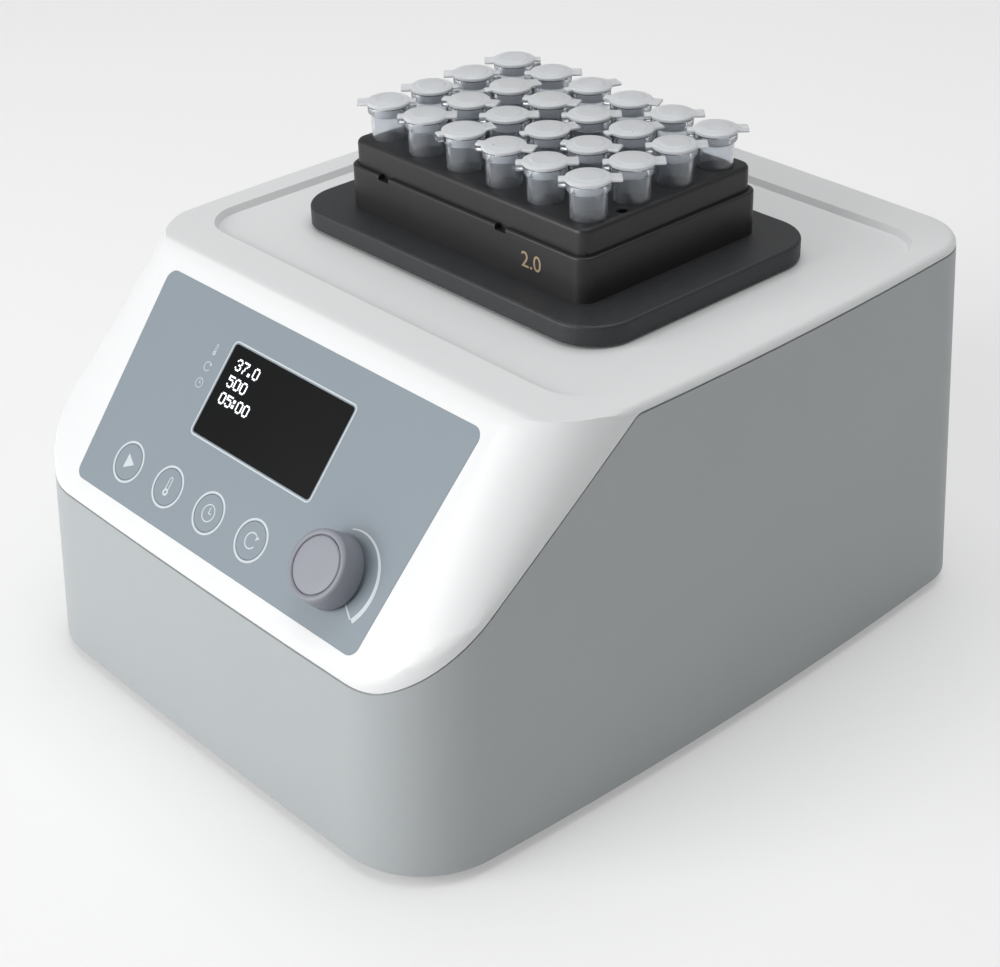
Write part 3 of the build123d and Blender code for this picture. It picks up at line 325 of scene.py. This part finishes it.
# Printed marks, and the lit squares of the display
printPale = makeFinish("printPale", (0.56, 0.61, 0.64), 0.97, 0.5, 0.03, 2600, 200, 0.002)
goldMark = makeFinish("goldMark", (0.55, 0.42, 0.26), 0.9, 0.4, 0.05, 1500, 200, 0.004, Metallic=0.6)
pixelWhite = makeFinish("pixelWhite", (0.9, 0.92, 0.95), 0.97, 0.4, 0.03, 2600, 200, 0.002,
                        Emission_Color=(0.9, 0.95, 1.0, 1), Emission_Strength=0.75)
print("finishes made")

# Housing, cover and other skins taken from the CAD nodes

record = frame["record"]
slotOf = {entry["node"]: entry["material_slot"] for entry in record["subparts"]}
bodyOf = {name: body for body, names in record["behaviour"]["bodies"].items() for name in names}

skinAngle = 32  # edges sharper than this stay crisp
skins = {
    "top_cover": "coverShell",
    "lower_housing": "housingShell",
    "platform_skirt": "platformSkirt",
    "block_collar": "blockCollar",
    "sample_block": "sampleBlock",
}
for nodeName, pieceName in skins.items():
    skin = skinFromNode(nodeName, skinAngle)
    slotName = slotOf[nodeName]
    finishPiece(skin, pieceName, finishes[slotName], bodyOf[nodeName], [nodeName])
print("skins made")

for nodeName, node in nodes.items():
    node.data.materials.clear()
    node.data.materials.append(finishes[slotOf[nodeName]])

# Control panel print

panel = {
    "keyX": [-48.4, -27.8, -7.2, 13.4], "keyU": -49.1, "ringOuter": 6.6, "ringInner": 5.95,
    "knobX": 48.0, "knobU": -43.9,
    "windowX": -1.7, "windowU": -16.6, "frameWidth": 57.6, "frameHeight": 30.8,
    "frameCorner": 2.0, "frameLine": 0.45, "cornerSteps": 8, "printHeight": 0.03,
}


def flatRing(x, u, outer, inner, vertices=72):
    deselectAll()
    bpy.ops.mesh.primitive_circle_add(
        vertices=vertices, radius=outer * mm, location=inMm((x, u, 0)), fill_type="NGON")
    ring = bpy.context.object
    settle(ring)
    bpy.ops.object.mode_set(mode="EDIT")
    bpy.ops.mesh.select_all(action="SELECT")
    bpy.ops.mesh.inset(thickness=(outer - inner) * mm)
    bpy.ops.mesh.delete(type="FACE")
    bpy.ops.object.mode_set(mode="OBJECT")
    return ring


def flatBar(x, u, width, height):
    deselectAll()
    bpy.ops.mesh.primitive_plane_add(size=1, location=inMm((x, u, 0)))
    bar = bpy.context.object
    bar.scale = (width * mm, height * mm, 1)
    settle(bar)
    return bar


def flatTriangle(x, u, radius, turn):
    deselectAll()
    bpy.ops.mesh.primitive_circle_add(
        vertices=3, radius=radius * mm, fill_type="NGON",
        location=inMm((x, u, 0)), rotation=(0, 0, math.radians(turn)))
    triangle = bpy.context.object
    settle(triangle)
    return triangle


def dropFaces(piece, isSpare):
    # deletes the faces for which isSpare is true
    makeActive(piece)
    bpy.ops.object.mode_set(mode="EDIT")
    bpy.ops.mesh.select_mode(type="FACE")
    bpy.ops.mesh.select_all(action="DESELECT")
    bpy.ops.object.mode_set(mode="OBJECT")
    for face in piece.data.polygons:
        face.select = isSpare(face.center)
    bpy.ops.object.mode_set(mode="EDIT")
    bpy.ops.mesh.delete(type="FACE")
    bpy.ops.mesh.select_mode(type="VERT")
    bpy.ops.object.mode_set(mode="OBJECT")


def flatArc(x, u, outer, inner, fromAngle, toAngle, vertices):
    # part of a ring between two angles, counted from +x
    arc = flatRing(x, u, outer, inner, vertices)
    span = (toAngle - fromAngle) % 360

    def isOutside(centre):
        angle = math.degrees(math.atan2(centre.y - u * mm, centre.x - x * mm)) % 360
        return (angle - fromAngle) % 360 > span

    dropFaces(arc, isOutside)
    return arc


def thicken(piece, height):
    makeActive(piece)
    bpy.ops.object.mode_set(mode="EDIT")
    bpy.ops.mesh.select_all(action="SELECT")
    bpy.ops.mesh.extrude_region_move(TRANSFORM_OT_translate={"value": (0, 0, height * mm)})
    bpy.ops.object.mode_set(mode="OBJECT")
    faceOutwards(piece)


def roundedFrame(x, u, width, height, corner, line):
    # thin line round a rectangle with round corners
    outline = flatBar(x, u, width, height)
    bpy.ops.object.mode_set(mode="EDIT")
    bpy.ops.mesh.select_all(action="SELECT")
    bpy.ops.mesh.bevel(offset=corner * mm, segments=panel["cornerSteps"], affect="VERTICES")
    bpy.ops.mesh.select_all(action="SELECT")
    bpy.ops.mesh.inset(thickness=line * mm)
    bpy.ops.mesh.delete(type="FACE")
    bpy.ops.object.mode_set(mode="OBJECT")
    return outline


def finishPrint(piece, name, height, material, body):
    # gives a flat print its thickness and lays it on the sloped face
    thicken(piece, height)
    placeBy(piece, slopeFrame)
    finishPiece(piece, name, material, body)


prints = [roundedFrame(panel["windowX"], panel["windowU"], panel["frameWidth"], panel["frameHeight"],
                       panel["frameCorner"], panel["frameLine"])]
for keyX in panel["keyX"]:
    prints.append(flatRing(keyX, panel["keyU"], panel["ringOuter"], panel["ringInner"]))
panelPrint = joinPieces(prints, "panelPrint")
finishPrint(panelPrint, "panelPrint", panel["printHeight"], printPale, "base")

# Generic signs, with each measure a share of the sign's size

playShares = {"radius": 0.62}
thermometerShares = {
    "bulbDown": 0.38, "bulbOuter": 0.26, "bulbInner": 0.12,
    "wallOut": 0.14, "wallUp": 0.2, "wallWidth": 0.07, "wallLength": 0.75,
    "topUp": 0.56, "topOuter": 0.175, "topInner": 0.105,
}
clockShares = {
    "outer": 0.62, "inner": 0.54, "handWidth": 0.08,
    "hourOut": 0.12, "hourLength": 0.3, "minuteUp": 0.18, "minuteLength": 0.42,
}
turnShares = {"outer": 0.58, "inner": 0.49, "tipOut": 0.535, "tipRadius": 0.22}
signTurns = {"play": -90, "from": 40, "to": 330, "tipAt": 38, "tip": 40}
signVertices = {"thermometer": 32, "clock": 48, "turn": 64}


def sized(shares, size):
    return {name: share * size for name, share in shares.items()}


def playSign(x, u, size):
    part = sized(playShares, size)
    return [flatTriangle(x, u, part["radius"], signTurns["play"])]


def thermometerSign(x, u, size):
    part = sized(thermometerShares, size)
    vertices = signVertices["thermometer"]
    bulb = flatRing(x, u - part["bulbDown"], part["bulbOuter"], part["bulbInner"], vertices)
    left = flatBar(x - part["wallOut"], u + part["wallUp"], part["wallWidth"], part["wallLength"])
    right = flatBar(x + part["wallOut"], u + part["wallUp"], part["wallWidth"], part["wallLength"])
    top = flatArc(x, u + part["topUp"], part["topOuter"], part["topInner"], 0, 180, vertices)
    return [bulb, left, right, top]


def clockSign(x, u, size):
    part = sized(clockShares, size)
    face = flatRing(x, u, part["outer"], part["inner"], signVertices["clock"])
    hour = flatBar(x + part["hourOut"], u, part["hourLength"], part["handWidth"])
    minute = flatBar(x, u + part["minuteUp"], part["handWidth"], part["minuteLength"])
    return [face, hour, minute]


def turnSign(x, u, size):
    part = sized(turnShares, size)
    arc = flatArc(x, u, part["outer"], part["inner"], signTurns["from"], signTurns["to"],
                  signVertices["turn"])
    tipX = x + part["tipOut"] * math.cos(math.radians(signTurns["tipAt"]))
    tipU = u + part["tipOut"] * math.sin(math.radians(signTurns["tipAt"]))
    return [arc, flatTriangle(tipX, tipU, part["tipRadius"], signTurns["tip"])]


signs = {
    "keySize": 4.4, "keys": [playSign, thermometerSign, clockSign, turnSign],
    "rowSize": 2.6, "rowX": -36.5, "rowU": [-6.9, -12.3, -17.7],
    "row": [thermometerSign, turnSign, clockSign],
}
for number, (keyX, drawSign) in enumerate(zip(panel["keyX"], signs["keys"]), 1):
    sign = joinPieces(drawSign(keyX, panel["keyU"], signs["keySize"]), "keySign")
    finishPrint(sign, f"keySign{number}", panel["printHeight"], printPale, f"key_{number}")
rowParts = []
for rowU, drawSign in zip(signs["rowU"], signs["row"]):
    rowParts += drawSign(signs["rowX"], rowU, signs["rowSize"])
rowSigns = joinPieces(rowParts, "rowSigns")
finishPrint(rowSigns, "rowSigns", panel["printHeight"], printPale, "base")
print("panel print made")

# Crescent beside the knob: it thins out and nears the knob towards its upper end

crescent = {
    "outer": 16.6, "pullIn": 3.8, "from": -36, "to": 98, "wide": 1.5, "narrow": 0.35,
    "drawn": 1.0,  # width before it is shaped
    "vertices": 180,
}
crescentInner = crescent["outer"] - crescent["drawn"]
crescentArc = flatArc(panel["knobX"], panel["knobU"], crescent["outer"], crescentInner,
                      crescent["from"], crescent["to"], crescent["vertices"])
for vertex in crescentArc.data.vertices:
    dx = vertex.co.x - panel["knobX"] * mm
    du = vertex.co.y - panel["knobU"] * mm
    reach = math.hypot(dx, du)
    turned = (math.degrees(math.atan2(du, dx)) - crescent["from"]) % 360
    along = turned / (crescent["to"] - crescent["from"])
    wanted = crescent["outer"] - crescent["pullIn"] * along * along
    if reach < (crescent["outer"] - crescent["drawn"] / 2) * mm:
        wanted -= crescent["wide"] + (crescent["narrow"] - crescent["wide"]) * min(along, 1)
    vertex.co.x = panel["knobX"] * mm + dx / reach * wanted * mm
    vertex.co.y = panel["knobU"] * mm + du / reach * wanted * mm
finishPrint(crescentArc, "knobCrescent", panel["printHeight"], printPale, "base")

# Display digits: lit squares on a grid seven rows high

digits = {
    "pitch": 0.52, "gap": 1.0, "height": 0.02,
    "left": -25.6, "rows": [-5.7, -11.1, -16.5], "lines": ["37.0", "500", "05:00"],
}
dotRows = {
    "0": ["01110", "10001", "10001", "10001", "10001", "10001", "01110"],
    "3": ["01110", "10001", "00001", "00110", "00001", "10001", "01110"],
    "5": ["11111", "10000", "11110", "00001", "00001", "10001", "01110"],
    "7": ["11111", "00001", "00010", "00100", "00100", "01000", "01000"],
    ".": ["000", "000", "000", "000", "000", "110", "110"],
    ":": ["000", "110", "110", "000", "110", "110", "000"],
}


def addDigit(sign, left, top):
    rows = dotRows[sign]
    columns = len(rows[0])
    width = columns * digits["pitch"]
    height = len(rows) * digits["pitch"]
    deselectAll()
    bpy.ops.mesh.primitive_grid_add(
        x_subdivisions=columns, y_subdivisions=len(rows), size=1,
        location=inMm((left + width / 2, top - height / 2, 0)))
    digit = bpy.context.object
    digit.scale = (width * mm, height * mm, 1)
    settle(digit)

    def isDark(centre):
        column = int((centre.x / mm - left) / digits["pitch"])
        row = int((top - centre.y / mm) / digits["pitch"])
        return rows[row][column] == "0"

    dropFaces(digit, isDark)
    return digit, width


lit = []
for line, top in zip(digits["lines"], digits["rows"]):
    left = digits["left"]
    for sign in line:
        digit, width = addDigit(sign, left, top)
        lit.append(digit)
        left += width + digits["gap"] * digits["pitch"]
displayDigits = joinPieces(lit, "displayDigits")
finishPrint(displayDigits, "displayDigits", digits["height"], pixelWhite, "base")
print("display made")

# Knob: rings of the shell and of the disc in its face, with heights above the sloped face

knob = {
    "shell": [(9.3, 3.0), (9.3, 1.0), (10.7, 1.0), (10.9, 1.3), (10.36, 7.7), (10.2, 8.2), (9.8, 8.5),
              (9.3, 8.6), (8.75, 8.52), (8.5, 8.3), (8.42, 8.0), (8.42, 7.75)],
    "disc": [(8.0, 7.8), (8.2, 7.85), (8.25, 8.15), (8.1, 8.35), (7.6, 8.42), (5.0, 8.46), (2.0, 8.48)],
    "vertices": 96, "smooth": 50,
}
knobPlace = slopeFrame @ Matrix.Translation(inMm((panel["knobX"], panel["knobU"], 0)))
knobPieces = [
    ("knobShell", knob["shell"], "knob", "control_knob"),
    ("knobDisc", knob["disc"], "knob_disc", "knob_cap"),
]
for pieceName, rings, slotName, nodeName in knobPieces:
    piece = lathe(rings, knob["vertices"])
    placeBy(piece, knobPlace)
    smoothBy(piece, knob["smooth"])
    finishPiece(piece, pieceName, finishes[slotName], "knob", [nodeName])
print("knob made")

# Tube size mark on the block's collar

mark = {"text": "2.0", "size": 7.0, "at": (31.0, -14.9, 137.2), "thick": 0.03}
deselectAll()
bpy.ops.object.text_add()
sizeMark = bpy.context.object
sizeMark.data.body = mark["text"]
sizeMark.data.size = mark["size"] * mm
sizeMark.data.align_x = "CENTER"
sizeMark.data.align_y = "CENTER"
sizeMark.data.extrude = mark["thick"] * mm
bpy.ops.object.convert(target="MESH")
sizeMark = bpy.context.object
sizeMark.rotation_euler = (math.radians(90), 0, 0)
sizeMark.location = inMm(mark["at"])
settle(sizeMark)
finishPiece(sizeMark, "blockSizeMark", goldMark, "block")

# Snap-cap tubes: rings run up the outside, round the rim and down the inside

tube = {
    "rings": [(1.2, -31.6), (2.6, -31.2), (3.9, -30.2), (4.9, -28.4), (5.4, -26.0), (5.5, -23.0),
              (5.5, 7.3), (5.55, 7.5), (6.35, 8.2), (6.45, 8.6), (6.45, 9.9), (6.3, 10.3), (5.9, 10.4),
              (4.7, 10.4), (4.5, 10.2), (4.5, -23.0), (4.35, -25.6), (3.9, -27.6), (3.0, -29.2),
              (2.0, -29.9), (0.8, -30.2)],
    "rim": 10.4, "vertices": 48, "smooth": 40,
    "lugAt": (-7.2, 0, -0.75), "lugSize": (2.8, 3.2, 1.1), "lugEdge": 0.3, "lugSteps": 2,
}
cap = {
    "rings": [(2.0, -2.6), (3.9, -2.6), (4.2, -2.2), (4.4, 0.15), (6.2, 0.15), (6.65, 0.35), (6.8, 0.8),
              (6.7, 1.2), (6.3, 1.45), (5.3, 1.5), (4.6, 1.52), (4.35, 1.7), (3.9, 1.75), (1.5, 1.75)],
    "tabs": [((7.4, 0, 0.75), (4.4, 5.2, 0.9)), ((-7.1, 0, 0.75), (2.9, 3.2, 0.9))],
    "tabEdge": 0.42, "tabSteps": 3,
}
rack = {
    "pitch": 17.5, "columns": 6, "rows": 4, "centreY": 22.0, "mouth": 162.9,
    "turn": 48.0, "step": 20.0,
}


def addBox(master, at, size, edge, segments):
    # box with soft edges, made one with the turned master
    deselectAll()
    bpy.ops.mesh.primitive_cube_add(size=1, location=inMm(at))
    box = bpy.context.object
    box.scale = inMm(size)
    settle(box)
    applyModifier(box, "BEVEL", width=edge * mm, segments=segments)
    applyModifier(master, "BOOLEAN", operation="UNION", object=box, solver="EXACT")
    bpy.data.objects.remove(box)


def makeTube():
    # mouth at height 0, with the lug that carries the strap of the cap
    master = lathe([(radius, height - tube["rim"]) for radius, height in tube["rings"]], tube["vertices"])
    addBox(master, tube["lugAt"], tube["lugSize"], tube["lugEdge"], tube["lugSteps"])
    smoothBy(master, tube["smooth"])
    return master


def makeCap():
    # thumb tab on one side and strap on the other
    master = lathe(cap["rings"], tube["vertices"])
    for at, size in cap["tabs"]:
        addBox(master, at, size, cap["tabEdge"], cap["tabSteps"])
    smoothBy(master, tube["smooth"])
    return master


def turnOf(row, column):
    # end columns point outwards, the others vary by a step
    if column == 0:
        return rack["turn"] + 180
    if column == rack["columns"] - 1:
        return rack["turn"]
    return rack["turn"] + rack["step"] * ((column + 2 * row) % 3 - 1)


tubeMaster = makeTube()
capMaster = makeCap()
for row in range(rack["rows"]):
    tubeCopies = []
    capCopies = []
    for column in range(rack["columns"]):
        x = (column - (rack["columns"] - 1) / 2) * rack["pitch"]
        y = rack["centreY"] + (row - (rack["rows"] - 1) / 2) * rack["pitch"]
        place = Matrix.Translation(inMm((x, y, rack["mouth"])))
        place = place @ Matrix.Rotation(math.radians(turnOf(row, column)), 4, "Z")
        for master, copies in ((tubeMaster, tubeCopies), (capMaster, capCopies)):
            copy = copyOf(master)
            placeBy(copy, place)
            copies.append(copy)
    number = row + 1
    kinds = [
        ("tube", tubeCopies, "tube_clear", f"tubes_row_{number}"),
        ("cap", capCopies, "cap_milky", f"caps_row_{number}"),
    ]
    if row == 0:
        frontPieces = [
            ("frontTube", tubeCopies.pop(), "front_sample", "tube_clear", "front_tube"),
            ("frontTubeCap", capCopies.pop(), "front_cap", "cap_milky", "front_tube_cap"),
        ]
        for pieceName, piece, body, slotName, nodeName in frontPieces:
            finishPiece(piece, pieceName, finishes[slotName], body, [nodeName])
    for kind, copies, slotName, nodeName in kinds:
        for column, copy in enumerate(copies, 1):
            finishPiece(copy, f"{kind}{number}{column}", finishes[slotName], f"samples_{number}",
                        [nodeName])
bpy.data.objects.remove(tubeMaster)
bpy.data.objects.remove(capMaster)
print("tubes made")

# Floor that is matt, and brighter for the camera alone

studio = {
    "world": 0.34, "floorSize": 12.0, "floorColour": (0.9, 0.9, 0.9, 1), "floorRough": 0.9,
    "floorGlow": 0.3,
}

deselectAll()
bpy.ops.mesh.primitive_plane_add(size=studio["floorSize"], location=(0, 0, 0))
floor = bpy.context.object
floor.name = "floor"
floorMaterial = bpy.data.materials.new("floorPale")
floorMaterial.use_nodes = True
floorTree = floorMaterial.node_tree
floorShader = floorTree.nodes["Principled BSDF"]
floorShader.inputs["Base Color"].default_value = studio["floorColour"]
floorShader.inputs["Roughness"].default_value = studio["floorRough"]
floorShader.inputs["Specular IOR Level"].default_value = 0.0
floorGlow = floorTree.nodes.new("ShaderNodeEmission")
floorGlow.inputs["Color"].default_value = (1, 1, 1, 1)
floorMix = floorTree.nodes.new("ShaderNodeMixShader")
floorRays = floorTree.nodes.new("ShaderNodeLightPath")
floorShare = floorTree.nodes.new("ShaderNodeMath")
floorShare.operation = "MULTIPLY"
floorShare.inputs[1].default_value = studio["floorGlow"]
floorLink = floorTree.links.new
floorLink(floorRays.outputs["Is Camera Ray"], floorShare.inputs[0])
floorLink(floorShare.outputs["Value"], floorMix.inputs["Fac"])
floorLink(floorShader.outputs["BSDF"], floorMix.inputs[1])
floorLink(floorGlow.outputs["Emission"], floorMix.inputs[2])
floorLink(floorMix.outputs["Shader"], floorTree.nodes["Material Output"].inputs["Surface"])
floor.data.materials.append(floorMaterial)

# World, lamps and camera

world = bpy.data.worlds.new("studioWorld")
bpy.context.scene.world = world
world.use_nodes = True
worldBackground = world.node_tree.nodes["Background"]
worldBackground.inputs["Color"].default_value = (1, 1, 1, 1)
worldBackground.inputs["Strength"].default_value = studio["world"]

lamps = {
    "keySoft": {"at": (-0.5, -1.5, 0.62), "size": 1.1, "power": 21},
    "topSoft": {"at": (0.0, 0.25, 1.6), "size": 1.4, "power": 12},
}
lampTarget = (0, 0, 0.08)
for name, values in lamps.items():
    deselectAll()
    bpy.ops.object.light_add(type="AREA", location=values["at"])
    lamp = bpy.context.object
    lamp.name = name
    lamp.data.shape = "SQUARE"
    lamp.data.size = values["size"]
    lamp.data.energy = values["power"]
    aim = Vector(lampTarget) - Vector(values["at"])
    lamp.rotation_euler = aim.to_track_quat("-Z", "Y").to_euler()

camera = {
    "at": (0.422475, -0.376185, 0.382266), "turn": (59.1076, 1.3755, 47.6195),
    "lens": 73.163, "sensor": 36.0, "clip": 0.01,
}
deselectAll()
bpy.ops.object.camera_add(location=camera["at"], rotation=[math.radians(part) for part in camera["turn"]])
shot = bpy.context.object
shot.data.sensor_width = camera["sensor"]
shot.data.lens = camera["lens"]
shot.data.clip_start = camera["clip"]
bpy.context.scene.camera = shot
bpy.context.scene.view_settings.view_transform = "Standard"
print("studio made")
